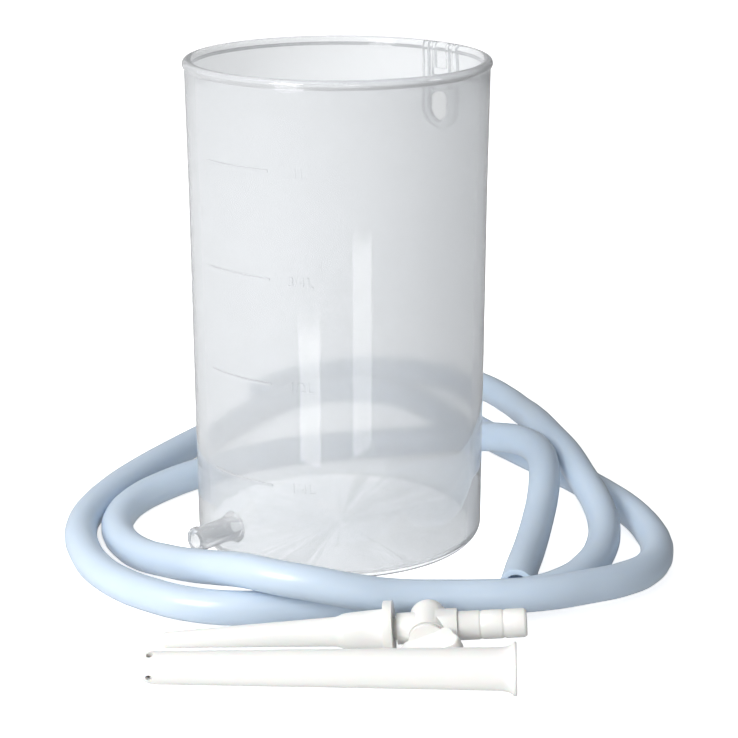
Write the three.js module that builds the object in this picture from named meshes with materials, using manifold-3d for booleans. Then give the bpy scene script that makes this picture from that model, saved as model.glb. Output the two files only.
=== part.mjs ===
// Gravity irrigator set: a graduated vessel with an outlet spout, a loose hose, and a stopcock
// with an enema nozzle and a longer douche tube.
// Millimetres, +Z up. The origin is the centre of the vessel's underside, on the table.
// +X is to the right of the graduations as a reader sees them, and -Y is the side they face.
import * as THREE from "three";
import { mergeVertices } from "three/addons/utils/BufferGeometryUtils.js";
import Module from "manifold-3d";

const wasm = await Module();
wasm.setup();

// ---------------------------------------------------------------- driving dimensions

const clearance = 0.3; // gap left between pieces that slide or turn in each other
const bite = 0.6; // how far a moulded-on feature is sunk into its wall

const vessel = {
  height: 164,
  baseRadius: 49.2,
  topRadius: 49.5,
  wall: 1.2,
  floor: 2.0,
  cornerRadius: 3.5,
  beadRadius: 1.7,
  beadOverhang: 1.0, // the bead's outside past the wall's outside
  firstMark: 32.0, // height of the lowest graduation
  topMargin: 28.4, // from the highest graduation to the rim
  marks: 4,
  markHeight: 0.9,
  markRelief: 0.4,
  markFrom: 215, // degrees round the wall
  markTo: 245,
};

const spout = {
  angle: 225,
  z: 13.4,
  radius: 4.0,
  bore: 2.5,
  reach: 16.5, // from the wall's outside to the open end
  lipRadius: 4.35,
  lipLength: 2.0,
  rootRadius: 5.4,
  rootLength: 3.0,
};

const eye = {
  angle: 45,
  width: 16,
  relief: 1.9,
  bottom: 136.5,
  border: 2.1,
  slotWidth: 8,
  slotHeight: 12,
  slotMargin: 1.0, // from the border's inside to the slot
  blockGap: 0.6, // from the slot to the block above it
  ribSpacing: 6.6,
  ribWidth: 1.3,
  blockHeight: 2.6,
};

const hoseRadius = 5.5;
const hoseSides = 10;
const hoseSteps = 80;

const tap = {
  flowBore: 2.2,
  spigotRadius: 3.2,
  spigotLength: 9,
  spigotTaper: 0.3,
  bodyRadius: 4.7,
  bodyLength: 13.2,
  collarStep: 0.6, // how far the collar stands out from the body
  collarLength: 5,
  barbRadius: 4.05,
  barbRidge: 0.3,
  barbLength: 20.5,
  barrelRadius: 5.8,
  barrelOffset: 9.3, // from the shoulder to the barrel's axis, along the flow
  barrelFront: 5.0, // from the flow axis to the barrel's open end
  domeOffset: 4.2, // from the flow axis to the centre of the dome
  plugRadius: 4.0,
  plugBack: 4.6, // how far the plug goes past the flow axis
};

const key = {
  headRadius: 5.6,
  headLength: 1.2,
  thickness: 4.0,
  rootWidth: 6.5, // half the wing's width at its back edge
  shoulderAt: 9.4,
  shoulderWidth: 9.2,
  halfWidth: 11.0,
  reach: 15.4, // from the flow axis to the key's end
  cornerRadius: 2.2,
  turned: 22, // degrees from fully open
};

const nozzle = {
  length: 70.4,
  tipRadius: 2.45,
  tipRound: 1.2,
  bodyMid: { at: 22.5, radius: 3.3 },
  bodyEnd: { at: 53, radius: 4.45 },
  hubFrom: { at: 55.8, radius: 5.4 },
  hubRadius: 6.1,
  flangeRadius: 8.5,
  flangeThickness: 2.8,
  bore: 1.5,
};

const tube = {
  length: 110,
  tipRadius: 4.8,
  endWall: 1.2,
  flareStep: 1.6, // how far the flare stands out from the mouth's outside
  flareLength: 4.2,
  lipThickness: 1.1,
  tipBore: 3.6,
  sideHoles: 4,
  sideHoleRadius: 1.0,
  sideHoleAt: 4.2,
  sideHoleTurn: 15, // degrees from the top to the first hole
};

// Where the loose pieces lie. Each axis starts at the closed or thin end and rises a little,
// because the far end rests on a wider rim.
const table = 0.2; // gap under the end and the rim that a lying piece rests on
const tapLine = { x: -52.3, y: -97.8, yaw: -4.0 };
const tubeLine = { x: -57.2, y: -120.6, yaw: -3.6 };
const plugTilt = 12; // degrees the plug's axis dips below level

// The hose's centre line from its bare end under the front strand to its bare end at the back.
// prettier-ignore
const hoseRoute = [
  [57.2, -64.6, 5.7], [60, -51, 5.7], [64, -34, 6.2], [67.5, -19, 8.6], [70.5, -5, 12.4],
  [72, 6, 16], [72.2, 15, 18], [70.8, 25, 18.7], [66.3, 37, 17.7], [58, 47.5, 15.4],
  [47, 55, 12.6], [33, 61, 9.4], [17, 64.5, 7], [0, 64.5, 5.8], [-17, 60, 5.7],
  [-34, 51, 5.7], [-50, 37.5, 5.7], [-63, 23.5, 5.7], [-72, 9, 5.7], [-76, -6, 5.7],
  [-75.3, -20, 5.7], [-71, -31.5, 5.7], [-64.5, -41, 6.2], [-55.5, -50, 7.8], [-46.5, -60, 10.6],
  [-38, -70, 14.2], [-28.5, -78.5, 17], [-17.5, -84.5, 17.2], [-6, -87.5, 16.4], [6, -88, 14.2],
  [18, -86.5, 12], [33, -85, 11], [50, -84.5, 11], [64, -81.5, 10.6], [78, -74, 9.4],
  [91, -64.5, 7.8], [101, -52, 6.3], [106, -36, 5.7], [105.5, -18.5, 5.7], [101.5, -2, 5.7],
  [95.5, 12, 5.7], [87.5, 27, 5.7], [77.5, 43.5, 5.7], [67.5, 59, 5.7], [57.5, 75, 5.7],
  [48, 92, 5.7], [39, 107, 5.7], [30, 120.5, 5.7], [18.5, 130.5, 5.7], [4, 134.5, 5.7],
  [-10.5, 132, 5.7], [-23, 123.5, 5.7], [-33.5, 110, 5.7], [-43, 94, 5.7], [-52.5, 76, 5.7],
  [-63, 57.5, 5.7], [-74, 36.5, 5.7], [-82.5, 16, 5.7], [-87.5, -4, 5.7], [-87.7, -21, 5.7],
  [-84, -37, 5.7], [-78, -51, 5.7], [-69, -63, 5.7], [-58, -72, 5.7], [-46, -78.5, 5.7],
  [-29.5, -81.7, 5.7], [-12, -79.5, 5.7], [2, -77, 5.7], [15, -75.2, 5.7], [33, -74.2, 5.7],
  [49, -74.1, 5.7], [60.7, -71.2, 5.7], [71.8, -63.9, 5.7], [81, -51.5, 5.8], [87.5, -36, 6.6],
  [90, -21, 8.6], [88.8, -6.5, 11.6], [85.6, 8.5, 14.2], [81.8, 26.5, 16.6], [77.3, 43.5, 17.4],
  [74.8, 60, 16], [73.5, 78, 12.5], [71.5, 97, 8.6], [67, 118, 6.1], [58.5, 136, 5.7],
  [45, 150.5, 5.7], [26, 158.5, 5.7], [5, 160, 5.7], [-13, 153.5, 5.7], [-27, 142, 5.7],
  [-37.5, 128.5, 5.7],
];

// ---------------------------------------------------------------- helpers

const degrees = (value) => (value * Math.PI) / 180;

// A closed geometry, moved by a matrix, as a solid.
function solidOf(geometry, matrix = new THREE.Matrix4()) {
  const bare = geometry.clone();
  bare.deleteAttribute("normal");
  bare.deleteAttribute("uv");
  const merged = mergeVertices(bare.applyMatrix4(matrix), 1e-4);
  return new wasm.Manifold(
    new wasm.Mesh({
      numProp: 3,
      vertProperties: merged.attributes.position.array,
      triVerts: new Uint32Array(merged.index.array),
    }),
  );
}

function meshOf(solid, name, look) {
  const data = solid.getMesh();
  const geometry = new THREE.BufferGeometry();
  geometry.setAttribute("position", new THREE.BufferAttribute(data.vertProperties, 3));
  geometry.setIndex(new THREE.BufferAttribute(data.triVerts, 1));
  geometry.computeVertexNormals();
  const mesh = new THREE.Mesh(geometry, new THREE.MeshStandardMaterial(look));
  mesh.name = name;
  return mesh;
}

// A round solid about +X from a profile of [distance along X, radius] that starts and ends on
// the axis, listed in the direction of +X.
function turnedAlongX(profile, segments = 48) {
  const points = profile.map(([along, radius]) => new THREE.Vector2(radius, along));
  const geometry = new THREE.LatheGeometry(points, segments);
  return solidOf(geometry, new THREE.Matrix4().makeRotationZ(-Math.PI / 2));
}

// A cylinder or cone about +X between two distances.
function rodAlongX(from, to, radius, endRadius = radius, segments = 48) {
  return turnedAlongX([[from, 0], [from, radius], [to, endRadius], [to, 0]], segments);
}

// A flat outline in local X (sideways) and Y (up), extruded outwards from a given distance
// from the vessel's axis, facing the given angle round it.
function plateOnWall(shape, angle, from, depth) {
  const geometry = new THREE.ExtrudeGeometry(shape, { depth, bevelEnabled: false, curveSegments: 10 });
  const outward = new THREE.Vector3(Math.cos(degrees(angle)), Math.sin(degrees(angle)), 0);
  const up = new THREE.Vector3(0, 0, 1);
  const sideways = new THREE.Vector3().crossVectors(up, outward);
  const matrix = new THREE.Matrix4().makeBasis(sideways, up, outward);
  matrix.setPosition(outward.clone().multiplyScalar(from));
  return solidOf(geometry, matrix);
}

// A rectangle with round ends, centred on x = 0.
function obround(width, bottom, top) {
  const radius = width / 2;
  const shape = new THREE.Shape();
  shape.absarc(0, bottom + radius, radius, Math.PI, 2 * Math.PI);
  shape.absarc(0, top - radius, radius, 0, Math.PI);
  shape.closePath();
  return shape;
}

// A U: round at the bottom and square at the top, centred on x = 0.
function uShape(width, bottom, top) {
  const radius = width / 2;
  const shape = new THREE.Shape();
  shape.absarc(0, bottom + radius, radius, Math.PI, 2 * Math.PI);
  shape.lineTo(radius, top);
  shape.lineTo(-radius, top);
  shape.closePath();
  return shape;
}

function rectangle(width, bottom, top, centre = 0) {
  const shape = new THREE.Shape();
  shape.moveTo(centre - width / 2, bottom);
  shape.lineTo(centre + width / 2, bottom);
  shape.lineTo(centre + width / 2, top);
  shape.lineTo(centre - width / 2, top);
  shape.closePath();
  return shape;
}

// ---------------------------------------------------------------- vessel

const beadCentre = vessel.height - vessel.beadRadius;

function outerRadiusAt(z) {
  return vessel.baseRadius + ((vessel.topRadius - vessel.baseRadius) * z) / vessel.height;
}

// Points of an arc in the profile's plane, by centre, radius and two angles in degrees.
function arc(centreRadius, centreZ, radius, from, to, steps) {
  const points = [];
  for (let i = 0; i <= steps; i++) {
    const angle = degrees(from + ((to - from) * i) / steps);
    points.push([centreRadius + radius * Math.cos(angle), centreZ + radius * Math.sin(angle)]);
  }
  return points;
}

function shell() {
  const { wall, floor, cornerRadius, beadRadius, beadOverhang, baseRadius } = vessel;
  const beadAxis = outerRadiusAt(beadCentre) + beadOverhang - beadRadius;
  const innerCorner = cornerRadius - wall;
  const profile = [
    [0, 0],
    ...arc(baseRadius - cornerRadius, cornerRadius, cornerRadius, -90, 0, 5),
    ...arc(beadAxis, beadCentre, beadRadius, -50, 230, 12),
    ...arc(baseRadius - wall - innerCorner, floor + innerCorner, innerCorner, 0, -90, 4),
    [0, floor],
  ];
  const points = profile.map(([radius, z]) => new THREE.Vector2(radius, z));
  return solidOf(new THREE.LatheGeometry(points, 96), new THREE.Matrix4().makeRotationX(Math.PI / 2));
}

function graduation(z) {
  const outside = outerRadiusAt(z) + vessel.markRelief;
  const inside = outerRadiusAt(z) - bite;
  const from = degrees(vessel.markFrom);
  const to = degrees(vessel.markTo);
  const shape = new THREE.Shape();
  shape.absarc(0, 0, outside, from, to, false);
  shape.absarc(0, 0, inside, to, from, true);
  shape.closePath();
  const geometry = new THREE.ExtrudeGeometry(shape, {
    depth: vessel.markHeight,
    bevelEnabled: false,
    curveSegments: 10,
  });
  return solidOf(geometry, new THREE.Matrix4().makeTranslation(0, 0, z - vessel.markHeight / 2));
}

function placedSpout(profile) {
  const matrix = new THREE.Matrix4().makeRotationZ(degrees(spout.angle));
  matrix.setPosition(0, 0, spout.z);
  const points = profile.map(([along, radius]) => new THREE.Vector2(radius, along));
  const upright = new THREE.LatheGeometry(points, 40).rotateZ(-Math.PI / 2);
  return solidOf(upright, matrix);
}

function vesselSolid() {
  let solid = shell();
  const markPitch = (vessel.height - vessel.topMargin - vessel.firstMark) / (vessel.marks - 1);
  for (let i = 0; i < vessel.marks; i++) solid = solid.add(graduation(vessel.firstMark + i * markPitch));

  const wallOutside = outerRadiusAt(spout.z);
  const end = wallOutside + spout.reach;
  const sunk = Math.sqrt(wallOutside ** 2 - spout.rootRadius ** 2) - bite;
  solid = solid.add(
    placedSpout([
      [sunk, 0],
      [sunk, spout.rootRadius],
      [wallOutside, spout.rootRadius],
      [wallOutside + spout.rootLength, spout.radius],
      [end - spout.lipLength, spout.radius],
      [end - spout.lipLength, spout.lipRadius],
      [end - 0.5, spout.lipRadius],
      [end, spout.radius],
      [end, 0],
    ]),
  );
  const through = wallOutside - 3 * vessel.wall;
  solid = solid.subtract(
    placedSpout([[through, 0], [through, spout.bore], [end + 1, spout.bore], [end + 1, 0]]),
  );

  const top = beadCentre;
  const eyeOutside = outerRadiusAt(eye.bottom);
  const from = Math.sqrt(eyeOutside ** 2 - (eye.width / 2) ** 2) - bite / 2;
  const depth = eyeOutside + eye.relief - from;
  const innerWidth = eye.width - 2 * eye.border;
  const slotBottom = eye.bottom + eye.border + eye.slotMargin;
  const slotTop = slotBottom + eye.slotHeight;
  const blockBottom = slotTop + eye.blockGap;
  let border = plateOnWall(uShape(eye.width, eye.bottom, top), eye.angle, from, depth);
  const hollow = uShape(innerWidth, eye.bottom + eye.border, top + 5);
  border = border.subtract(plateOnWall(hollow, eye.angle, from - 1, depth + 2));
  solid = solid.add(border);
  for (const side of [-0.5, 0.5]) {
    const rib = rectangle(eye.ribWidth, blockBottom, top, side * eye.ribSpacing);
    solid = solid.add(plateOnWall(rib, eye.angle, from, depth));
  }
  const blockWidth = eye.ribSpacing + eye.ribWidth;
  const block = rectangle(blockWidth, blockBottom, blockBottom + eye.blockHeight);
  solid = solid.add(plateOnWall(block, eye.angle, from, depth));
  const slot = obround(eye.slotWidth, slotBottom, slotTop);
  return solid.subtract(plateOnWall(slot, eye.angle, from - 6, depth + 12));
}

// ---------------------------------------------------------------- hose

function hoseMesh() {
  const path = new THREE.CatmullRomCurve3(
    hoseRoute.map((point) => new THREE.Vector3(...point)),
    false,
    "centripetal",
  );
  const section = new THREE.Shape();
  for (let i = 0; i < hoseSides; i++) {
    const angle = (2 * Math.PI * i) / hoseSides;
    const point = [hoseRadius * Math.cos(angle), hoseRadius * Math.sin(angle)];
    if (i === 0) section.moveTo(...point);
    else section.lineTo(...point);
  }
  section.closePath();
  const geometry = new THREE.ExtrudeGeometry(section, {
    steps: hoseSteps,
    extrudePath: path,
    bevelEnabled: false,
  });
  return meshOf(solidOf(geometry), "hose", { color: 0xc3d3e4, roughness: 0.35, metalness: 0 });
}

// ---------------------------------------------------------------- tap and nozzle
// Both are built along local +X: x = 0 is the nozzle's tip, and the flow runs from the barb at
// high x to the tip. The plug's axis is local "out", which dips towards the table.

const seatGap = 1.0; // between the nozzle's flange and the tap's shoulder
const shoulder = nozzle.length + seatGap;
const plugAt = shoulder + tap.barrelOffset;
const bodyEnd = shoulder + tap.bodyLength;
const collarEnd = bodyEnd + tap.collarLength;
const barbEnd = collarEnd + tap.barbLength;
const collarRadius = tap.bodyRadius + tap.collarStep;
// From the flow axis to the key's back face, clear of the barrel's end and of the collar.
const keySeat = Math.max(tap.barrelFront, collarRadius) + clearance;

// A matrix that takes local +X to the plug's axis, pointing out towards the key.
function plugMatrix(turn = 0) {
  const out = new THREE.Vector3(0, -Math.cos(degrees(plugTilt)), -Math.sin(degrees(plugTilt)));
  const flow = new THREE.Vector3(1, 0, 0);
  const across = new THREE.Vector3().crossVectors(out, flow);
  const matrix = new THREE.Matrix4().makeBasis(out, flow, across);
  matrix.multiply(new THREE.Matrix4().makeRotationX(turn));
  matrix.setPosition(plugAt, 0, 0);
  return matrix;
}

const moved = (solid, matrix) => solid.transform(matrix.elements);

function barb() {
  const ridge = tap.barbRadius + tap.barbRidge;
  const third = tap.barbLength / 3;
  const profile = [[collarEnd - bite, 0], [collarEnd - bite, ridge]];
  for (let i = 1; i < 3; i++) {
    const at = collarEnd + i * third;
    profile.push([at - 0.5, ridge], [at, tap.barbRadius], [at + 0.8, ridge]);
  }
  profile.push([barbEnd - 0.8, ridge], [barbEnd, tap.barbRadius - 0.2], [barbEnd, 0]);
  return turnedAlongX(profile);
}

function housingSolid() {
  const spigotTip = shoulder - tap.spigotLength;
  let solid = rodAlongX(shoulder, bodyEnd + bite, tap.bodyRadius);
  solid = solid.add(
    rodAlongX(spigotTip, shoulder + bite, tap.spigotRadius - tap.spigotTaper, tap.spigotRadius),
  );
  solid = solid.add(rodAlongX(bodyEnd - 2, collarEnd, collarRadius));
  solid = solid.add(barb());

  const dome = arc(-tap.domeOffset, 0, tap.barrelRadius, 180, 90, 10);
  const barrel = turnedAlongX([
    ...dome.map(([along, radius]) => [along, Math.max(0, radius)]),
    [tap.barrelFront, tap.barrelRadius],
    [tap.barrelFront, 0],
  ]);
  solid = solid.add(moved(barrel, plugMatrix()));
  solid = solid.subtract(rodAlongX(spigotTip - 1, barbEnd + 1, tap.flowBore));
  const plugBore = rodAlongX(
    -tap.plugBack - clearance,
    keySeat,
    tap.plugRadius + clearance,
  );
  return solid.subtract(moved(plugBore, plugMatrix()));
}

function keySolid() {
  const headTo = keySeat + key.headLength;
  const flow = rodAlongX(-tap.plugRadius - 1, tap.plugRadius + 1, tap.flowBore);
  const turnedFlow = moved(flow, new THREE.Matrix4().makeRotationZ(Math.PI / 2));
  let solid = rodAlongX(-tap.plugBack, keySeat + bite, tap.plugRadius).subtract(turnedFlow);
  solid = solid.add(rodAlongX(keySeat, headTo, key.headRadius));

  const wing = new THREE.Shape();
  const radius = key.cornerRadius;
  wing.moveTo(keySeat, -key.rootWidth);
  wing.quadraticCurveTo(key.shoulderAt - 2, -key.shoulderWidth + 0.2, key.shoulderAt, -key.shoulderWidth);
  wing.lineTo(key.reach - radius - 1, -key.halfWidth + 0.2);
  wing.absarc(key.reach - radius, -key.halfWidth + radius, radius, -Math.PI / 2, 0);
  wing.absarc(key.reach - radius, key.halfWidth - radius, radius, 0, Math.PI / 2);
  wing.lineTo(key.reach - radius - 1, key.halfWidth - 0.2);
  wing.lineTo(key.shoulderAt, key.shoulderWidth);
  wing.quadraticCurveTo(key.shoulderAt - 2, key.shoulderWidth - 0.2, keySeat, key.rootWidth);
  wing.closePath();
  const geometry = new THREE.ExtrudeGeometry(wing, {
    depth: key.thickness,
    bevelEnabled: false,
    curveSegments: 6,
  });
  solid = solid.add(solidOf(geometry, new THREE.Matrix4().makeTranslation(0, 0, -key.thickness / 2)));
  return moved(solid, plugMatrix(degrees(key.turned)));
}

function nozzleSolid() {
  const { length, flangeThickness, bodyMid, bodyEnd: taperEnd, hubFrom } = nozzle;
  const flangeFrom = length - flangeThickness;
  const outside = turnedAlongX([
    [0, 0],
    [0, nozzle.tipRadius - nozzle.tipRound],
    [nozzle.tipRound * 0.3, nozzle.tipRadius - nozzle.tipRound * 0.3],
    [nozzle.tipRound, nozzle.tipRadius],
    [bodyMid.at, bodyMid.radius],
    [taperEnd.at, taperEnd.radius],
    [hubFrom.at, hubFrom.radius],
    [flangeFrom, nozzle.hubRadius],
    [flangeFrom, nozzle.flangeRadius - 0.3],
    [flangeFrom + 0.3, nozzle.flangeRadius],
    [length - 0.3, nozzle.flangeRadius],
    [length, nozzle.flangeRadius - 0.3],
    [length, 0],
  ]);
  const socketDepth = tap.spigotLength + 1;
  const socketMouth = tap.spigotRadius + clearance;
  const socketEnd = socketMouth - tap.spigotTaper;
  const hollow = turnedAlongX([
    [-1, 0],
    [-1, nozzle.bore - 0.3],
    [taperEnd.at, nozzle.bore + 0.6],
    [length - socketDepth - 1.5, tap.flowBore],
    [length - socketDepth, socketEnd],
    [length + 0.01, socketMouth],
    [length + 1, socketMouth],
    [length + 1, 0],
  ]);
  return outside.subtract(hollow);
}

// ---------------------------------------------------------------- douche tube
// Built along local +X from the closed tip at x = 0 to the flared mouth.

const mouthBore = tap.bodyRadius + clearance; // the mouth goes over the tap's body
const mouthRadius = mouthBore + tube.endWall;
const flareRadius = mouthRadius + tube.flareStep;

function tubeSolid() {
  const flareFrom = tube.length - tube.flareLength;
  const dome = arc(tube.tipRadius, 0, tube.tipRadius, 180, 90, 8);
  const outside = turnedAlongX([
    ...dome.map(([along, radius]) => [along, Math.max(0, radius)]),
    [flareFrom, mouthRadius],
    [flareFrom + tube.flareLength * 0.45, mouthRadius + 0.35],
    [tube.length - tube.lipThickness, flareRadius - 0.3],
    [tube.length - tube.lipThickness * 0.7, flareRadius],
    [tube.length - 0.2, flareRadius],
    [tube.length, flareRadius - 0.2],
    [tube.length, 0],
  ]);
  const hollowTip = arc(tube.endWall + tube.tipBore, 0, tube.tipBore, 180, 90, 6);
  const hollow = turnedAlongX([
    ...hollowTip.map(([along, radius]) => [along, Math.max(0, radius)]),
    [flareFrom, mouthBore],
    [tube.length - 0.6, mouthBore + 1.4],
    [tube.length + 1, mouthBore + 2.2],
    [tube.length + 1, 0],
  ]);
  let solid = outside.subtract(hollow);
  const { sideHoleRadius: drill } = tube;
  const hole = rodAlongX(tube.tipBore * 0.5, tube.tipRadius + 2, drill, drill, 16);
  for (let i = 0; i < tube.sideHoles; i++) {
    const matrix = new THREE.Matrix4()
      .makeTranslation(tube.sideHoleAt, 0, 0)
      .multiply(new THREE.Matrix4().makeRotationX(degrees(tube.sideHoleTurn + (360 * i) / tube.sideHoles)))
      .multiply(new THREE.Matrix4().makeRotationZ(Math.PI / 2));
    solid = solid.subtract(moved(hole, matrix));
  }
  return solid;
}

// ---------------------------------------------------------------- assembly

// A group whose local +X lies along a piece's axis: turned by its yaw, and raised so that the
// thin end and the far rim both rest on the table.
function lyingGroup(line, thinRadius, rimRadius, rimAt) {
  const rise = Math.asin((rimRadius - thinRadius) / rimAt);
  const group = new THREE.Group();
  group.rotation.order = "ZYX";
  group.rotation.set(0, -rise, degrees(line.yaw));
  group.position.set(line.x, line.y, thinRadius + table);
  return group;
}

const part = new THREE.Group();
const clear = { color: 0xeef1f2, roughness: 0.15, metalness: 0, transparent: true, opacity: 0.35 };
const white = { color: 0xf6f6f2, roughness: 0.3, metalness: 0 };

part.add(meshOf(vesselSolid(), "graduated_vessel", clear));
part.add(hoseMesh());

const tapGroup = lyingGroup(tapLine, nozzle.tipRadius, nozzle.flangeRadius, nozzle.length);
tapGroup.add(meshOf(housingSolid(), "tap_housing", white));
tapGroup.add(meshOf(keySolid(), "tap_key", white));
tapGroup.add(meshOf(nozzleSolid(), "enema_nozzle", white));
part.add(tapGroup);

const tubeGroup = lyingGroup(tubeLine, tube.tipRadius, flareRadius, tube.length);
tubeGroup.add(meshOf(tubeSolid(), "douche_tube", white));
part.add(tubeGroup);

export default part;
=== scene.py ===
import math

import bpy
from mathutils import Matrix, Vector


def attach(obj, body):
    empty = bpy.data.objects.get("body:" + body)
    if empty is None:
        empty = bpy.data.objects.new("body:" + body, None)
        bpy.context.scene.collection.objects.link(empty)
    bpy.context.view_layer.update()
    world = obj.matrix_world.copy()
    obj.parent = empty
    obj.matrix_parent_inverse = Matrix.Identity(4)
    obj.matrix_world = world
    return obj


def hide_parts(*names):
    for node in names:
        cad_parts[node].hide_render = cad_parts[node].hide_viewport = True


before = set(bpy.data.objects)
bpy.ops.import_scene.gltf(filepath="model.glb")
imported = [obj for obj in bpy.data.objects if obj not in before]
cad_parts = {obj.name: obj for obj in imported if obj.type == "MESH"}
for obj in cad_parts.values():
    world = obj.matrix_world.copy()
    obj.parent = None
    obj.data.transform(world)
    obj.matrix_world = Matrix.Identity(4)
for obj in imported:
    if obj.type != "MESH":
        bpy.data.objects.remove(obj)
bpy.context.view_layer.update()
mm = 0.001
print("frame loaded")


def deselectAll():
    bpy.ops.object.select_all(action="DESELECT")


def pick(piece):
    deselectAll()
    piece.select_set(True)
    bpy.context.view_layer.objects.active = piece


# puts the piece where the matrix says, with its place in its mesh
def place(piece, matrix):
    pick(piece)
    piece.matrix_world = matrix @ piece.matrix_world
    bpy.ops.object.transform_apply(location=True, rotation=True, scale=True)


def applyModifier(piece, kind, **settings):
    pick(piece)
    modifier = piece.modifiers.new(kind.lower(), kind)
    for name, value in settings.items():
        setattr(modifier, name, value)
    bpy.ops.object.modifier_apply(modifier=modifier.name)


def unite(piece, other):
    applyModifier(piece, "BOOLEAN", operation="UNION", solver="EXACT", object=other)
    bpy.data.objects.remove(other)


def cut(piece, other):
    applyModifier(piece, "BOOLEAN", operation="DIFFERENCE", solver="EXACT", object=other)
    bpy.data.objects.remove(other)


def softenEdges(piece, width, angle=28, segments=3):
    applyModifier(
        piece,
        "BEVEL",
        width=width,
        segments=segments,
        limit_method="ANGLE",
        angle_limit=math.radians(angle),
        use_clamp_overlap=True,
    )


def smoothShade(piece, angle=30):
    pick(piece)
    bpy.ops.object.shade_smooth_by_angle(angle=math.radians(angle))


# a round piece about +Z, spun from an outline of (radius, height) in millimetres
def spun(name, outline, steps=96, sweep=360, startAngle=0):
    deselectAll()
    bpy.ops.mesh.primitive_plane_add(size=mm)
    piece = bpy.context.object
    piece.name = name
    bpy.ops.object.mode_set(mode="EDIT")
    bpy.ops.mesh.select_mode(type="VERT")
    bpy.ops.mesh.select_all(action="SELECT")
    bpy.ops.mesh.merge(type="CENTER")
    turn = Matrix.Rotation(math.radians(startAngle), 3, "Z")
    corners = [turn @ Vector((radius * mm, 0, height * mm)) for radius, height in outline]
    bpy.ops.transform.translate(value=corners[0])
    for here, there in zip(corners, corners[1:]):
        bpy.ops.mesh.extrude_region_move(TRANSFORM_OT_translate={"value": there - here})
    bpy.ops.mesh.select_all(action="SELECT")
    bpy.ops.mesh.spin(
        steps=steps, angle=math.radians(sweep), center=(0, 0, 0), axis=(0, 0, 1), use_auto_merge=True
    )
    bpy.ops.mesh.select_all(action="SELECT")
    bpy.ops.mesh.remove_doubles(threshold=0.002 * mm)
    bpy.ops.mesh.normals_make_consistent(inside=False)
    bpy.ops.object.mode_set(mode="OBJECT")
    return piece


def arc(centreRadius, centreHeight, radius, start, end, steps):
    points = []
    for i in range(steps + 1):
        angle = math.radians(start + (end - start) * i / steps)
        points.append(
            (centreRadius + radius * math.cos(angle), centreHeight + radius * math.sin(angle))
        )
    return points


# a flat plate in XY from closed outlines in millimetres, depth thick about z = 0
def flatShape(name, outlines, depth, rounding=0.0, resolution=6):
    curve = bpy.data.curves.new(name, "CURVE")
    curve.dimensions = "2D"
    curve.fill_mode = "BOTH"
    curve.extrude = (depth / 2 - rounding) * mm
    curve.bevel_depth = rounding * mm
    curve.bevel_resolution = 2 if rounding else 0
    curve.offset = -rounding * mm
    for outline in outlines:
        spline = curve.splines.new("POLY")
        spline.points.add(len(outline) - 1)
        for point, (x, y) in zip(spline.points, outline):
            point.co = (x * mm, y * mm, 0, 1)
        spline.use_cyclic_u = True
    plate = bpy.data.objects.new(name, curve)
    bpy.context.collection.objects.link(plate)
    pick(plate)
    bpy.ops.object.convert(target="MESH")
    bpy.ops.object.mode_set(mode="EDIT")
    bpy.ops.mesh.select_all(action="SELECT")
    bpy.ops.mesh.remove_doubles(threshold=0.002 * mm)
    bpy.ops.mesh.normals_make_consistent(inside=False)
    bpy.ops.object.mode_set(mode="OBJECT")
    return bpy.context.object


cameraSettings = {
    "location": (0.01024, -0.61978, 0.25609),
    "tiltDegrees": 72.213,
    "lens": 92.77,
    "sensor": 36,
}


def makeCamera():
    data = bpy.data.cameras.new("camera")
    data.lens = cameraSettings["lens"]
    data.sensor_width = cameraSettings["sensor"]
    data.clip_start = 0.01
    data.clip_end = 50
    camera = bpy.data.objects.new("camera", data)
    camera.location = cameraSettings["location"]
    camera.rotation_euler = (math.radians(cameraSettings["tiltDegrees"]), 0, 0)
    bpy.context.collection.objects.link(camera)
    bpy.context.scene.camera = camera
    return camera


camera = makeCamera()


def newMaterial(name):
    material = bpy.data.materials.new(name)
    material.use_nodes = True
    nodes = material.node_tree.nodes
    return material, nodes, material.node_tree.links, nodes["Principled BSDF"]


def addNode(nodes, kind, **values):
    node = nodes.new(kind)
    for name, value in values.items():
        if name in node.inputs:
            node.inputs[name].default_value = value
        else:
            setattr(node, name, value)
    return node


clearLook = {
    "tint": (0.73, 0.74, 0.75, 1),
    "passes": 0.74,
    "roughness": 0.045,
    "ior": 1.45,
}


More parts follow.
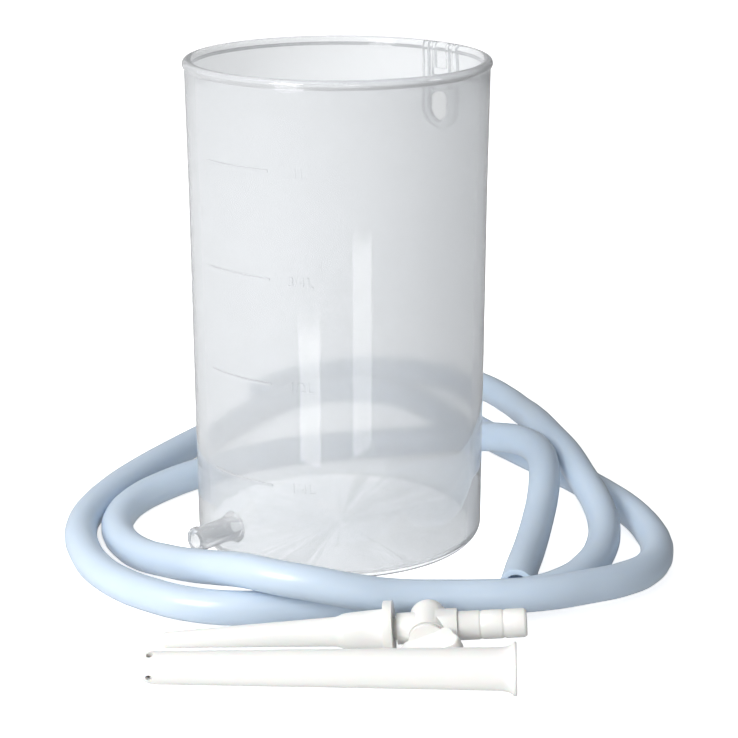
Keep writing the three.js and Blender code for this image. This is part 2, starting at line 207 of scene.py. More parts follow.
def clearPlastic():
    material, nodes, links, shader = newMaterial("clearPolypropylene")
    shader.inputs["Base Color"].default_value = clearLook["tint"]
    shader.inputs["Transmission Weight"].default_value = clearLook["passes"]
    shader.inputs["IOR"].default_value = clearLook["ior"]
    place = nodes.new("ShaderNodeTexCoord")
    # flow lines of the moulding: streaks drawn out along the height
    stretch = nodes.new("ShaderNodeMapping")
    stretch.inputs["Scale"].default_value = (1, 1, 0.12)
    links.new(place.outputs["Object"], stretch.inputs["Vector"])
    streaks = addNode(nodes, "ShaderNodeTexNoise", Scale=90.0, Detail=3.0, Roughness=0.55)
    links.new(stretch.outputs["Vector"], streaks.inputs["Vector"])
    # fine scuffs that dull the gloss here and there
    scuffs = addNode(nodes, "ShaderNodeTexNoise", Scale=1400.0, Detail=2.0)
    links.new(place.outputs["Object"], scuffs.inputs["Vector"])
    dull = addNode(nodes, "ShaderNodeMapRange")
    dull.inputs["From Min"].default_value = 0.35
    dull.inputs["From Max"].default_value = 0.75
    dull.inputs["To Min"].default_value = clearLook["roughness"]
    dull.inputs["To Max"].default_value = clearLook["roughness"] + 0.08
    links.new(streaks.outputs["Fac"], dull.inputs["Value"])
    links.new(dull.outputs["Result"], shader.inputs["Roughness"])
    wave = addNode(nodes, "ShaderNodeBump", Strength=0.10, Distance=0.0002)
    links.new(streaks.outputs["Fac"], wave.inputs["Height"])
    grain = addNode(nodes, "ShaderNodeBump", Strength=0.05, Distance=0.00005)
    links.new(scuffs.outputs["Fac"], grain.inputs["Height"])
    links.new(wave.outputs["Normal"], grain.inputs["Normal"])
    links.new(grain.outputs["Normal"], shader.inputs["Normal"])
    # lamps shine through the thin wall, a little dimmed
    path = nodes.new("ShaderNodeLightPath")
    through = nodes.new("ShaderNodeBsdfTransparent")
    through.inputs["Color"].default_value = (0.84, 0.85, 0.86, 1)
    mix = nodes.new("ShaderNodeMixShader")
    links.new(path.outputs["Is Shadow Ray"], mix.inputs["Fac"])
    links.new(shader.outputs["BSDF"], mix.inputs[1])
    links.new(through.outputs["BSDF"], mix.inputs[2])
    links.new(mix.outputs["Shader"], nodes["Material Output"].inputs["Surface"])
    return material


hoseLook = {
    "light": (0.60, 0.70, 0.81, 1),
    "deep": (0.54, 0.645, 0.77, 1),
    "roughness": 0.34,
}


def hosePlastic():
    material, nodes, links, shader = newMaterial("paleBlueHose")
    place = nodes.new("ShaderNodeTexCoord")
    cloud = addNode(nodes, "ShaderNodeTexNoise", Scale=28.0, Detail=3.0, Roughness=0.6)
    links.new(place.outputs["Object"], cloud.inputs["Vector"])
    colour = nodes.new("ShaderNodeMix")
    colour.data_type = "RGBA"
    colour.inputs["A"].default_value = hoseLook["light"]
    colour.inputs["B"].default_value = hoseLook["deep"]
    links.new(cloud.outputs["Fac"], colour.inputs["Factor"])
    links.new(colour.outputs["Result"], shader.inputs["Base Color"])
    speckle = addNode(nodes, "ShaderNodeTexNoise", Scale=2200.0, Detail=2.0)
    links.new(place.outputs["Object"], speckle.inputs["Vector"])
    gloss = addNode(nodes, "ShaderNodeMapRange")
    gloss.inputs["To Min"].default_value = hoseLook["roughness"] - 0.06
    gloss.inputs["To Max"].default_value = hoseLook["roughness"] + 0.06
    links.new(speckle.outputs["Fac"], gloss.inputs["Value"])
    links.new(gloss.outputs["Result"], shader.inputs["Roughness"])
    skin = addNode(nodes, "ShaderNodeBump", Strength=0.12, Distance=0.0001)
    links.new(speckle.outputs["Fac"], skin.inputs["Height"])
    links.new(skin.outputs["Normal"], shader.inputs["Normal"])
    shader.inputs["Subsurface Weight"].default_value = 0.25
    shader.inputs["Subsurface Radius"].default_value = (0.8, 1.0, 1.3)
    shader.inputs["Subsurface Scale"].default_value = 0.002
    shader.inputs["Coat Weight"].default_value = 0.25
    shader.inputs["Coat Roughness"].default_value = 0.12
    return material


whiteLook = {
    "bright": (0.87, 0.87, 0.85, 1),
    "shade": (0.83, 0.83, 0.805, 1),
    "roughness": 0.30,
}


def whitePlastic():
    material, nodes, links, shader = newMaterial("whiteMouldedPlastic")
    place = nodes.new("ShaderNodeTexCoord")
    cloud = addNode(nodes, "ShaderNodeTexNoise", Scale=60.0, Detail=3.0, Roughness=0.6)
    links.new(place.outputs["Object"], cloud.inputs["Vector"])
    colour = nodes.new("ShaderNodeMix")
    colour.data_type = "RGBA"
    colour.inputs["A"].default_value = whiteLook["bright"]
    colour.inputs["B"].default_value = whiteLook["shade"]
    links.new(cloud.outputs["Fac"], colour.inputs["Factor"])
    links.new(colour.outputs["Result"], shader.inputs["Base Color"])
    grain = addNode(nodes, "ShaderNodeTexNoise", Scale=1600.0, Detail=2.0)
    links.new(place.outputs["Object"], grain.inputs["Vector"])
    gloss = addNode(nodes, "ShaderNodeMapRange")
    gloss.inputs["To Min"].default_value = whiteLook["roughness"] - 0.05
    gloss.inputs["To Max"].default_value = whiteLook["roughness"] + 0.08
    links.new(grain.outputs["Fac"], gloss.inputs["Value"])
    links.new(gloss.outputs["Result"], shader.inputs["Roughness"])
    skin = addNode(nodes, "ShaderNodeBump", Strength=0.10, Distance=0.00008)
    links.new(grain.outputs["Fac"], skin.inputs["Height"])
    links.new(skin.outputs["Normal"], shader.inputs["Normal"])
    shader.inputs["Subsurface Weight"].default_value = 0.15
    shader.inputs["Subsurface Scale"].default_value = 0.001
    return material


clearMaterial = clearPlastic()
hoseMaterial = hosePlastic()
whiteMaterial = whitePlastic()


def finishPiece(piece, body, slotName, material, *nodesReplaced):
    piece.data.materials.clear()
    piece.data.materials.append(material)
    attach(piece, body)
    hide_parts(*nodesReplaced)
    print(piece.name, "done:", len(piece.data.polygons), "faces")


hoseSettings = {
    "diameter": 11.0,
    "bore": 7.2,
    "length": 1465,
    "boreDepth": 9,
    "sides": 32,
}

# the centre line, from the bare end under the front strand to the bare end at the back
# fmt: off
hoseRoute = [
    (57.2, -64.6, 5.7), (60, -51, 5.7), (64, -34, 6.2), (67.5, -19, 8.6), (70.5, -5, 12.4),
    (72, 6, 16), (72.2, 15, 18), (70.8, 25, 18.7), (66.3, 37, 17.7), (58, 47.5, 15.4),
    (47, 55, 12.6), (33, 61, 9.4), (17, 64.5, 7), (0, 64.5, 5.8), (-17, 60, 5.7),
    (-34, 51, 5.7), (-50, 37.5, 5.7), (-63, 23.5, 5.7), (-72, 9, 5.7), (-76, -6, 5.7),
    (-75.3, -20, 5.7), (-71, -31.5, 5.7), (-64.5, -41, 6.2), (-55.5, -50, 7.8), (-46.5, -60, 10.6),
    (-38, -70, 14.2), (-28.5, -78.5, 17), (-17.5, -84.5, 17.2), (-6, -87.5, 16.4), (6, -88, 14.2),
    (18, -86.5, 12), (33, -85, 11), (50, -84.5, 11), (64, -81.5, 10.6), (78, -74, 9.4),
    (91, -64.5, 7.8), (101, -52, 6.3), (106, -36, 5.7), (105.5, -18.5, 5.7), (101.5, -2, 5.7),
    (95.5, 12, 5.7), (87.5, 27, 5.7), (77.5, 43.5, 5.7), (67.5, 59, 5.7), (57.5, 75, 5.7),
    (48, 92, 5.7), (39, 107, 5.7), (30, 120.5, 5.7), (18.5, 130.5, 5.7), (4, 134.5, 5.7),
    (-10.5, 132, 5.7), (-23, 123.5, 5.7), (-33.5, 110, 5.7), (-43, 94, 5.7), (-52.5, 76, 5.7),
    (-63, 57.5, 5.7), (-74, 36.5, 5.7), (-82.5, 16, 5.7), (-87.5, -4, 5.7), (-87.7, -21, 5.7),
    (-84, -37, 5.7), (-78, -51, 5.7), (-69, -63, 5.7), (-58, -72, 5.7), (-46, -78.5, 5.7),
    (-29.5, -81.7, 5.7), (-12, -79.5, 5.7), (2, -77, 5.7), (15, -75.2, 5.7), (33, -74.2, 5.7),
    (49, -74.1, 5.7), (60.7, -71.2, 5.7), (71.8, -63.9, 5.7), (81, -51.5, 5.8), (87.5, -36, 6.6),
    (90, -21, 8.6), (88.8, -6.5, 11.6), (85.6, 8.5, 14.2), (81.8, 26.5, 16.6), (77.3, 43.5, 17.4),
    (74.8, 60, 16), (73.5, 78, 12.5), (71.5, 97, 8.6), (67, 118, 6.1), (58.5, 136, 5.7),
    (45, 150.5, 5.7), (26, 158.5, 5.7), (5, 160, 5.7), (-13, 153.5, 5.7), (-27, 142, 5.7),
    (-37.5, 128.5, 5.7),
]
# fmt: on


def makeHose():
    size = hoseSettings
    curve = bpy.data.curves.new("hose", "CURVE")
    curve.dimensions = "3D"
    curve.resolution_u = 7
    curve.bevel_depth = size["diameter"] / 2 * mm
    curve.bevel_resolution = size["sides"] // 4 - 2
    spline = curve.splines.new("BEZIER")
    spline.bezier_points.add(len(hoseRoute) - 1)
    for point, place in zip(spline.bezier_points, hoseRoute):
        point.co = Vector(place) * mm
        point.handle_left_type = "AUTO"
        point.handle_right_type = "AUTO"
    hose = bpy.data.objects.new("irrigatorHose", curve)
    bpy.context.collection.objects.link(hose)
    # a copy with no thickness gives the line that the tube's rings follow
    thread = hose.copy()
    thread.data = curve.copy()
    thread.data.bevel_depth = 0
    bpy.context.collection.objects.link(thread)
    pick(thread)
    bpy.ops.object.convert(target="MESH")
    centres = [vertex.co.copy() for vertex in bpy.context.object.data.vertices]
    bpy.data.objects.remove(bpy.context.object)
    pick(hose)
    bpy.ops.object.convert(target="MESH")
    hose = bpy.context.object
    mesh = hose.data
    # each open end gets a rounded rim, and the bore shows in it
    for end, inward in ((0, 1), (len(centres) - 1, -1)):
        axis = (centres[end + inward] - centres[end]).normalized()
        bpy.ops.object.mode_set(mode="EDIT")
        bpy.ops.mesh.select_mode(type="VERT")
        bpy.ops.mesh.select_all(action="DESELECT")
        bpy.ops.object.mode_set(mode="OBJECT")
        for vertex in mesh.vertices:
            fromEnd = vertex.co - centres[end]
            onPlane = abs(fromEnd.dot(axis)) < 0.1 * mm
            vertex.select = onPlane and fromEnd.length < size["diameter"] * mm
        bpy.ops.object.mode_set(mode="EDIT")
        bpy.ops.mesh.edge_face_add()
        bpy.ops.mesh.select_mode(type="FACE")
        bpy.ops.mesh.inset(thickness=0.35 * mm)
        bpy.ops.transform.translate(value=-axis * 0.12 * mm)
        bpy.ops.mesh.inset(thickness=(size["diameter"] - size["bore"]) / 2 * mm - 0.6 * mm)
        bpy.ops.mesh.inset(thickness=0.25 * mm)
        bpy.ops.transform.translate(value=axis * 0.25 * mm)
        bpy.ops.mesh.extrude_region_move(
            TRANSFORM_OT_translate={"value": axis * size["boreDepth"] * mm}
        )
        bpy.ops.mesh.select_mode(type="VERT")
        bpy.ops.object.mode_set(mode="OBJECT")
    smoothShade(hose, 40)
    finishPiece(hose, "vessel", "hose_plastic", hoseMaterial, "hose")
    return hose


hose = makeHose()


vesselSize = {
    "height": 164,
    "baseRadius": 49.2,
    "topRadius": 49.5,
    "wall": 1.2,
    "floor": 2.0,
    "corner": 3.5,
    "beadRadius": 1.7,
    "beadOverhang": 1.0,
    "firstMark": 32.0,
    "markPitch": 34.5,
    "markHeight": 0.9,
    "markRelief": 0.4,
    "markTo": 245,
    "markSweep": 30,
    "steps": 160,
}

spoutSize = {
    "angle": 225,
    "height": 13.4,
    "radius": 4.0,
    "bore": 2.5,
    "reach": 16.5,
    "lip": 4.35,
    "root": 5.4,
}

eyeSize = {
    "angle": 45,
    "width": 16,
    "relief": 1.9,
    "bottom": 136.5,
    "border": 2.1,
    "slotWidth": 8,
    "slotHeight": 12,
    "ribSpacing": 6.6,
    "ribWidth": 1.3,
    "blockHeight": 2.6,
}

numeralSize = {
    "height": 3.4,
    "relief": 0.35,
    "angle": -103,
    "labels": ["1/4 L", "1/2 L", "3/4 L", "1 L"],
    "widths": {"1": 1.7, "2": 2.0, "3": 2.0, "4": 2.1, "/": 1.4, " ": 0.8, "L": 1.9},
}


def outerRadius(height):
    size = vesselSize
    return size["baseRadius"] + (size["topRadius"] - size["baseRadius"]) * height / size["height"]


# a flat piece's XY laid against the wall: X sideways, Y up, Z outwards
def onWall(angle, radius, height=0.0):
    turn = math.radians(angle)
    outward = Vector((math.cos(turn), math.sin(turn), 0))
    up = Vector((0, 0, 1))
    sideways = up.cross(outward)
    matrix = Matrix((sideways, up, outward)).transposed().to_4x4()
    matrix.translation = outward * radius * mm + up * height * mm
    return matrix


def vesselShell():
    size = vesselSize
    beadHeight = size["height"] - size["beadRadius"]
    beadAxis = outerRadius(beadHeight) + size["beadOverhang"] - size["beadRadius"]
    innerCorner = size["corner"] - size["wall"]
    outside = size["baseRadius"] - size["corner"]
    inside = size["baseRadius"] - size["wall"] - innerCorner
    outline = [(0, 0), (outside * 0.5, 0)]
    outline += arc(outside, size["corner"], size["corner"], -90, 0, 8)
    outline += [(outerRadius(height), height) for height in (40, 80, 120)]
    outline += arc(beadAxis, beadHeight, size["beadRadius"], -52, 232, 22)
    outline += [(outerRadius(height) - size["wall"], height) for height in (157, 120, 80, 40)]
    outline += arc(inside, size["floor"] + innerCorner, innerCorner, 0, -90, 6)
    outline += [(inside * 0.5, size["floor"]), (0, size["floor"])]
    return spun("irrigatorVessel", outline, steps=size["steps"])


def graduation(height):
    size = vesselSize
    low, high = height - size["markHeight"] / 2, height + size["markHeight"] / 2
    outside = outerRadius(height) + size["markRelief"]
    mark = spun("mark", [(outside, low), (outside, high)], 24, size["markSweep"], size["markTo"])
    applyModifier(mark, "SOLIDIFY", thickness=(size["markRelief"] + 0.6) * mm, offset=-1)
    softenEdges(mark, 0.12 * mm, 60, 2)
    return mark


# one raised label beside its mark, each character on its own tangent
def numeral(label, height):
    size = numeralSize
    letters = []
    advance = size["widths"]
    angle = size["angle"] - math.degrees(sum(advance[c] for c in label) / 2 / 49.5)
    for character in label:
        step = math.degrees(advance[character] / 49.5)
        if character != " ":
            curve = bpy.data.curves.new("numeral", "FONT")
            curve.body = character
            curve.size = size["height"] * 1.35 * mm
            curve.align_x = "CENTER"
            curve.extrude = (size["relief"] + 0.4) / 2 * mm
            letter = bpy.data.objects.new("numeral", curve)
            bpy.context.collection.objects.link(letter)
            pick(letter)
            bpy.ops.object.convert(target="MESH")
            letter = bpy.context.object
            bpy.ops.object.mode_set(mode="EDIT")
            bpy.ops.mesh.select_all(action="SELECT")
            bpy.ops.mesh.remove_doubles(threshold=0.001 * mm)
            bpy.ops.mesh.normals_make_consistent(inside=False)
            bpy.ops.object.mode_set(mode="OBJECT")
            middle = outerRadius(height) + (size["relief"] - 0.4) / 2
            place(letter, onWall(angle + step / 2, middle, height - size["height"] / 2))
            letters.append(letter)
        angle += step
    return letters


def joined(pieces):
    pick(pieces[0])
    for piece in pieces:
        piece.select_set(True)
    bpy.ops.object.join()
    return bpy.context.object


def uOutline(width, bottom, top):
    half = width / 2
    return arc(0, bottom + half, half, 180, 360, 20) + [(half, top), (-half, top)]


def hangingEye():
    size = eyeSize
    top = vesselSize["height"] - vesselSize["beadRadius"]
    outside = outerRadius(size["bottom"])
    inner = math.sqrt(outside**2 - (size["width"] / 2) ** 2) - 0.3
    depth = outside + size["relief"] - inner
    middle = inner + depth / 2
    border = flatShape(
        "eye", [uOutline(size["width"], size["bottom"], top + 0.5)], depth, 0.3
    )
    hollow = flatShape(
        "hollow",
        [uOutline(size["width"] - 2 * size["border"], size["bottom"] + size["border"], top + 6)],
        depth + 4,
    )
    cut(border, hollow)
    place(border, onWall(size["angle"], middle))
    slotTop = size["bottom"] + size["border"] + 1 + size["slotHeight"]
    parts = [border]
    for side in (-0.5, 0.5):
        x = side * size["ribSpacing"]
        half = size["ribWidth"] / 2
        box = [(x - half, slotTop + 0.6), (x + half, slotTop + 0.6), (x + half, top), (x - half, top)]
        rib = flatShape("rib", [box], depth, 0.2)
        place(rib, onWall(size["angle"], middle))
        parts.append(rib)
    half = (size["ribSpacing"] + size["ribWidth"]) / 2
    low, high = slotTop + 0.6, slotTop + 0.6 + size["blockHeight"]
    block = flatShape("block", [[(-half, low), (half, low), (half, high), (-half, high)]], depth, 0.2)
    place(block, onWall(size["angle"], middle))
    parts.append(block)
    return parts


def eyeSlot():
    size = eyeSize
    half = size["slotWidth"] / 2
    low = size["bottom"] + size["border"] + 1
    high = low + size["slotHeight"]
    outline = arc(0, low + half, half, 180, 360, 16) + arc(0, high - half, half, 0, 180, 16)
    slot = flatShape("slot", [outline], 16)
    place(slot, onWall(size["angle"], outerRadius(low)))
    return slot


# takes a piece spun about +Z to an axis pointing outwards through the wall
def alongX(angle, height):
    turn = Matrix.Rotation(math.radians(angle), 4, "Z") @ Matrix.Rotation(math.radians(90), 4, "Y")
    return Matrix.Translation((0, 0, height * mm)) @ turn


def makeVessel():
    size, out = vesselSize, spoutSize
    vessel = vesselShell()
    raised = []
    for i, label in enumerate(numeralSize["labels"]):
        height = size["firstMark"] + i * size["markPitch"]
        raised.append(graduation(height))
        raised += numeral(label, height)
    unite(vessel, joined(raised))
    print("graduations joined to the wall")
    wall = outerRadius(out["height"])
    end = wall + out["reach"]
    root = math.sqrt(wall**2 - out["root"] ** 2) - 0.6
    nose = spun(
        "spout",
        [(0, root), (out["root"], root), (out["root"], wall), (out["root"] - 0.7, wall + 1.0)]
        + [(out["radius"] + 0.15, wall + 3.0), (out["radius"], wall + 4.5)]
        + [(out["radius"], end - 2.2), (out["lip"], end - 1.9), (out["lip"], end - 0.7)]
        + [(out["radius"], end - 0.1), (out["radius"] - 0.4, end), (0, end)],
        48,
    )
    place(nose, alongX(out["angle"], out["height"]))
    unite(vessel, nose)
    bore = spun("bore", [(0, wall - 3.6), (out["bore"], wall - 3.6), (out["bore"], end + 1), (0, end + 1)], 40)
    place(bore, alongX(out["angle"], out["height"]))
    cut(vessel, bore)
    for part in hangingEye():
        unite(vessel, part)
    cut(vessel, eyeSlot())
    smoothShade(vessel, 32)
    finishPiece(vessel, "vessel", "clear_plastic", clearMaterial, "graduated_vessel")
    return vessel


vessel = makeVessel()


tapSize = {
    "flowBore": 2.2,
    "spigot": 3.2,
    "spigotLength": 9,
    "spigotTaper": 0.3,
    "body": 4.7,
    "bodyLength": 13.2,
    "collar": 5.3,
    "collarLength": 5,
    "barb": 4.05,
    "barbRidge": 0.3,
    "barbLength": 20.5,
    "barrel": 5.8,
    "barrelOffset": 9.3,
    "barrelFront": 5.0,
    "dome": 4.2,
    "plug": 4.0,
    "plugBack": 4.6,
    "plugTilt": 12,
    "clearance": 0.3,
}

keySize = {
    "head": 5.6,
    "headLength": 1.2,
    "seat": 5.6,
    "rootWidth": 6.5,
    "shoulderAt": 9.4,
    "shoulderWidth": 9.2,
    "halfWidth": 11.0,
    "thickness": 4.0,
    "reach": 15.4,
    "corner": 2.2,
    "turned": 22,
}

nozzleSize = {
    "length": 70.4,
    "tip": 2.45,
    "tipRound": 1.2,
    "hub": 6.1,
    "flange": 8.5,
    "flangeThickness": 2.8,
    "bore": 1.5,
}

tubeSize = {
    "length": 110,
    "tip": 4.8,
    "wall": 1.2,
    "flare": 7.8,
    "flareLength": 4.2,
    "lip": 1.1,
    "tipBore": 3.6,
    "holes": 4,
    "holeRadius": 1.0,
    "holeAt": 4.2,
    "holeTurn": 15,
}

tableGap = 0.2
shoulder = nozzleSize["length"] + tapSize["clearance"] + 0.7
plugAt = shoulder + tapSize["barrelOffset"]
bodyEnd = shoulder + tapSize["bodyLength"]
collarEnd = bodyEnd + tapSize["collarLength"]
barbEnd = collarEnd + tapSize["barbLength"]


# where a piece lies: its thin end and its far rim both rest on the table
def lying(x, y, yaw, thin, rim, rimAt):
    rise = math.asin((rim - thin) / rimAt)
    turn = Matrix.Rotation(math.radians(yaw), 4, "Z") @ Matrix.Rotation(-rise, 4, "Y")
    return Matrix.Translation(Vector((x, y, thin + tableGap)) * mm) @ turn


tapPlace = lying(-52.3, -97.8, -4.0, nozzleSize["tip"], nozzleSize["flange"], nozzleSize["length"])
tubePlace = lying(-57.2, -120.6, -3.6, tubeSize["tip"], tubeSize["flare"], tubeSize["length"])
layDown = Matrix.Rotation(math.radians(90), 4, "Y")


# takes a piece spun about +Z, or drawn with +X as the plug's axis, to the plug
def plugPlace(turned=0.0):
    tilt = math.radians(tapSize["plugTilt"])
    out = Vector((0, -math.cos(tilt), -math.sin(tilt)))
    flow = Vector((1, 0, 0))
    across = out.cross(flow)
    matrix = Matrix((out, flow, across)).transposed().to_4x4()
    matrix.translation = Vector((plugAt * mm, 0, 0))
    return tapPlace @ matrix @ Matrix.Rotation(math.radians(turned), 4, "X")


def rod(radius, start, end, steps=48):
    return spun("rod", [(0, start), (radius, start), (radius, end), (0, end)], steps)


def makeTapHousing():
    size = tapSize
    spigotTip = shoulder - size["spigotLength"]
    ridge = size["barb"] + size["barbRidge"]
    third = size["barbLength"] / 3
    outline = [(0, spigotTip), (size["spigot"] - size["spigotTaper"], spigotTip)]
    outline += [(size["spigot"], shoulder), (size["body"], shoulder), (size["body"], bodyEnd - 2)]
    outline += [(size["collar"], bodyEnd - 2), (size["collar"], collarEnd), (ridge, collarEnd)]
    for i in (1, 2):
        at = collarEnd + i * third
        outline += [(ridge, at - 0.5), (size["barb"], at), (ridge, at + 0.8)]
    outline += [(ridge, barbEnd - 0.8), (size["barb"] - 0.2, barbEnd), (0, barbEnd)]
    housing = spun("tapHousing", outline, 64)
    softenEdges(housing, 0.22 * mm, 30, 2)
    place(housing, tapPlace @ layDown)
    dome = arc(0, -size["dome"], size["barrel"], -90, 0, 16)
    dome = [(radius, along) for radius, along in dome]
    barrel = spun("barrel", dome + [(size["barrel"], size["barrelFront"]), (0, size["barrelFront"])], 64)
    place(barrel, plugPlace() @ layDown)
    unite(housing, barrel)
    # the plug's hole goes first: cut after the flow bore, it leaves open edges
    hole = rod(
        size["plug"] + size["clearance"],
        -size["plugBack"] - size["clearance"],
        keySize["seat"],
        48,
    )
    place(hole, plugPlace() @ layDown)
    cut(housing, hole)
    flow = rod(size["flowBore"], spigotTip - 1, barbEnd + 1, 32)
    place(flow, tapPlace @ layDown)
    cut(housing, flow)
    smoothShade(housing, 35)
    finishPiece(housing, "tap", "white_plastic", whiteMaterial, "tap_housing")
    return housing


def keyOutline():
    size = keySize
    seat, root = size["seat"], size["rootWidth"]
    at, shoulderHalf = size["shoulderAt"], size["shoulderWidth"]
    half, corner, reach = size["halfWidth"], size["corner"], size["reach"]
    side = []
    # the curve from the root out to the shoulder
    for i in range(7):
        k = i / 6
        x = (1 - k) ** 2 * seat + 2 * k * (1 - k) * (at - 2) + k**2 * at
        y = (1 - k) ** 2 * root + 2 * k * (1 - k) * (shoulderHalf - 0.2) + k**2 * shoulderHalf
        side.append((x, -y))
    side.append((reach - corner - 1, -half + 0.2))
    side += arc(reach - corner, -half + corner, corner, -90, 0, 8)
    return side + [(x, -y) for x, y in reversed(side)]


def makeKey():
    size, tap = keySize, tapSize
    headFrom = size["seat"]
    headTo = headFrom + size["headLength"]
    outline = [(0, -tap["plugBack"]), (tap["plug"], -tap["plugBack"]), (tap["plug"], headFrom)]
    outline += [(size["head"], headFrom), (size["head"], headTo - 0.3), (size["head"] - 1.4, headTo)]
    plug = spun("tapKey", outline + [(0, headTo)], 64)
    wing = flatShape("wing", [keyOutline()], size["thickness"], 0.55)
    flow = rod(tap["flowBore"], -tap["plug"] - 1, tap["plug"] + 1, 32)
    place(plug, plugPlace(size["turned"]) @ layDown)
    place(wing, plugPlace(size["turned"]))
    unite(plug, wing)
    place(flow, plugPlace(size["turned"]) @ Matrix.Rotation(math.radians(90), 4, "X"))
    cut(plug, flow)
    softenEdges(plug, 0.2 * mm, 30, 2)
    smoothShade(plug, 35)
    finishPiece(plug, "key", "white_plastic", whiteMaterial, "tap_key")
    return plug


def makeNozzle():
    size = nozzleSize
    length, rim = size["length"], size["length"] - size["flangeThickness"]
    tip, curl = size["tip"], size["tipRound"]
    outline = [(size["bore"] - 0.3, 0.5), (size["bore"], 0), (tip - curl, 0)]
    outline += [(tip - curl + curl * math.sin(a), curl - curl * math.cos(a)) for a in (0.5, 1.0, 1.4)]
    outline += [(tip + 0.05, curl + 0.4), (2.9, 12), (3.3, 22.5), (3.85, 38), (4.45, 53)]
    outline += [(4.7, 53.9), (5.2, 55.2), (5.4, 56.2), (5.75, 61), (size["hub"], rim)]
    outline += [(size["flange"], rim), (size["flange"], length)]
    mouth = tapSize["spigot"] + tapSize["clearance"]
    socket = tapSize["spigotLength"] + 1
    outline += [(mouth, length), (mouth - tapSize["spigotTaper"], length - socket)]
    outline += [(tapSize["flowBore"], length - socket - 1.5), (2.1, 53)]
    nozzle = spun("enemaNozzle", outline + [outline[0]], 72)
    place(nozzle, tapPlace @ layDown)
    softenEdges(nozzle, 0.3 * mm, 35, 3)
    smoothShade(nozzle, 35)
    finishPiece(nozzle, "nozzle", "white_plastic", whiteMaterial, "enema_nozzle")
    return nozzle


def makeTube():
    size = tubeSize
    length = size["length"]
    bore = tapSize["body"] + tapSize["clearance"]
    mouth = bore + size["wall"]
    flareFrom = length - size["flareLength"]
    dome = arc(0, size["tip"], size["tip"], -90, 0, 18)
    outline = dome + [(size["tip"] + (mouth - size["tip"]) * k, size["tip"] + (flareFrom - size["tip"]) * k) for k in (0.33, 0.66, 0.95)]
    outline += [(mouth + 0.02, flareFrom), (mouth + 0.35, flareFrom + 1.6), (mouth + 0.85, length - 1.5)]
    outline += [(size["flare"] - 0.25, length - size["lip"]), (size["flare"], length - 0.75)]
    outline += [(size["flare"], length - 0.25), (size["flare"] - 0.25, length)]
    outline += [(bore + 1.7, length), (bore + 1.3, length - 0.6), (bore, flareFrom)]
    inner = arc(0, size["wall"] + size["tipBore"], size["tipBore"], 0, -90, 10)
    tube = spun("doucheTube", outline + inner, 80)
    softenEdges(tube, 0.15 * mm, 35, 2)
    place(tube, tubePlace @ layDown)
    for i in range(size["holes"]):
        drill = rod(size["holeRadius"], size["tipBore"] * 0.5, size["tip"] + 2, 24)
        turn = Matrix.Rotation(math.radians(size["holeTurn"] + 360 / size["holes"] * i), 4, "X")
        drillPlace = tubePlace @ Matrix.Translation((size["holeAt"] * mm, 0, 0)) @ turn
        place(drill, drillPlace)
        cut(tube, drill)
    smoothShade(tube, 35)
    finishPiece(tube, "tube", "white_plastic", whiteMaterial, "douche_tube")
    return tube


housing = makeTapHousing()
tapKey = makeKey()
nozzle = makeNozzle()
tube = makeTube()


studio = {
    "floorSize": 14,
    "floorColour": (0.92, 0.92, 0.92, 1),
    "floorGlow": 0.78,
    "worldLeft": 0.66,
    "worldRight": 0.14,
    "worldColour": (0.98, 0.99, 1.0, 1),
}


def makeFloor():
    deselectAll()
    bpy.ops.mesh.primitive_plane_add(size=studio["floorSize"])
    floor = bpy.context.object
    floor.name = "floor"
    material, nodes, links, shader = newMaterial("paleFloor")
    shader.inputs["Base Color"].default_value = studio["floorColour"]
    shader.inputs["Roughness"].default_value = 0.9
    # the floor glows a little where it is looked at, and not as a light on the object
    glow = nodes.new("ShaderNodeEmission")
    glow.inputs["Strength"].default_value = studio["floorGlow"]
    both = nodes.new("ShaderNodeAddShader")
    links.new(shader.outputs["BSDF"], both.inputs[0])
    links.new(glow.outputs["Emission"], both.inputs[1])
    path = nodes.new("ShaderNodeLightPath")
    mix = nodes.new("ShaderNodeMixShader")
    links.new(path.outputs["Is Diffuse Ray"], mix.inputs["Fac"])
    links.new(both.outputs["Shader"], mix.inputs[1])
    links.new(shader.outputs["BSDF"], mix.inputs[2])
    links.new(mix.outputs["Shader"], nodes["Material Output"].inputs["Surface"])
    floor.data.materials.append(material)
    # reflections look past the floor to the panes and the world
    floor.visible_glossy = False
    return floor


def makeWorld():
    world = bpy.data.worlds.new("studio")
    world.use_nodes = True
    back = world.node_tree.nodes["Background"]
    back.inputs["Color"].default_value = studio["worldColour"]
    # bright towards the left and dim towards the right
    nodes, links = world.node_tree.nodes, world.node_tree.links
    direction = nodes.new("ShaderNodeTexCoord")
    parts = nodes.new("ShaderNodeSeparateXYZ")
    links.new(direction.outputs["Generated"], parts.inputs["Vector"])
    fall = nodes.new("ShaderNodeMapRange")
    fall.inputs["From Min"].default_value = -0.8
    fall.inputs["From Max"].default_value = 0.6
    fall.inputs["To Min"].default_value = studio["worldLeft"]
    fall.inputs["To Max"].default_value = studio["worldRight"]
    links.new(parts.outputs["X"], fall.inputs["Value"])
    links.new(fall.outputs["Result"], back.inputs["Strength"])
    bpy.context.scene.world = world


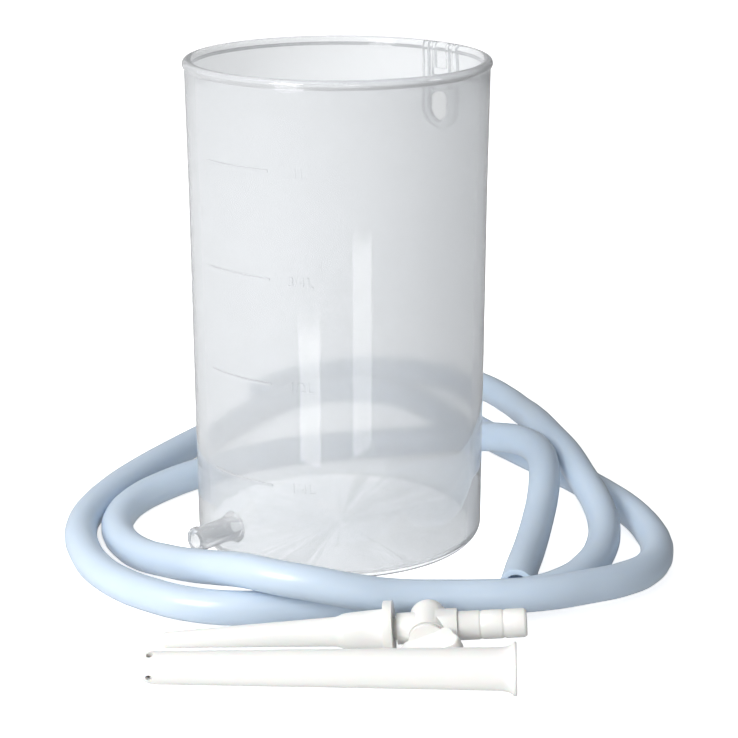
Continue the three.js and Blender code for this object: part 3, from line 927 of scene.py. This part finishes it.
# an area lamp seen from the vessel at an azimuth (0 is -Y, towards +X) and elevation
def softbox(name, azimuth, elevation, distance, width, height, power, colour):
    data = bpy.data.lights.new(name, "AREA")
    data.shape = "RECTANGLE"
    data.size, data.size_y = width, height
    data.energy = power
    data.color = colour
    lamp = bpy.data.objects.new(name, data)
    a, e = math.radians(azimuth), math.radians(elevation)
    towards = Vector((math.sin(a) * math.cos(e), -math.cos(a) * math.cos(e), math.sin(e)))
    lamp.location = towards * distance + Vector((0, 0, 0.05))
    lamp.rotation_euler = towards.to_track_quat("Z", "Y").to_euler()
    bpy.context.collection.objects.link(lamp)
    return lamp


# bright panes that only reflections see, each named by the patch of wall it shows in
panes = [
    {"name": "leftPane", "angles": (-104, -96), "heights": (32, 85), "glow": 6.0},
    {"name": "rightPane", "angles": (-84, -77), "heights": (2, 110), "glow": 4.0},
]
paneDistance = -1.2


# where the camera's sight line lands on the panes' plane after the wall reflects it
def mirrored(angle, height):
    turn = math.radians(angle)
    normal = Vector((math.cos(turn), math.sin(turn), 0))
    point = normal * outerRadius(height) * mm + Vector((0, 0, height * mm))
    sight = (Vector(cameraSettings["location"]) - point).normalized()
    ray = 2 * normal.dot(sight) * normal - sight
    return point + ray * ((paneDistance - point.y) / ray.y)


def makePane(settings):
    deselectAll()
    bpy.ops.mesh.primitive_plane_add(size=1)
    pane = bpy.context.object
    pane.name = settings["name"]
    (start, end), (low, high) = settings["angles"], settings["heights"]
    corners = [(start, low), (end, low), (start, high), (end, high)]
    for vertex, corner in zip(pane.data.vertices, corners):
        vertex.co = mirrored(*corner)
    material, nodes, links, shader = newMaterial(settings["name"])
    glow = nodes.new("ShaderNodeEmission")
    glow.inputs["Strength"].default_value = settings["glow"]
    links.new(glow.outputs["Emission"], nodes["Material Output"].inputs["Surface"])
    nodes.remove(shader)
    pane.data.materials.append(material)
    pane.visible_camera = False
    pane.visible_diffuse = False
    pane.visible_transmission = False
    pane.visible_shadow = False


makeFloor()
makeWorld()
for pane in panes:
    makePane(pane)
softbox("leftWindow", -38, 30, 0.95, 0.30, 0.45, 6.0, (1.0, 1.0, 1.0))
softbox("rightWindow", 12, 26, 1.6, 0.25, 0.5, 1.2, (1.0, 0.97, 0.92))
softbox("overhead", -60, 62, 1.4, 1.0, 1.0, 4.2, (1.0, 1.0, 1.0))

scene = bpy.context.scene
scene.view_settings.view_transform = "Standard"
scene.view_settings.look = "None"
scene.view_settings.exposure = 0.0
scene.cycles.max_bounces = 16
scene.cycles.transmission_bounces = 12
scene.cycles.transparent_max_bounces = 12
print("stage lit")
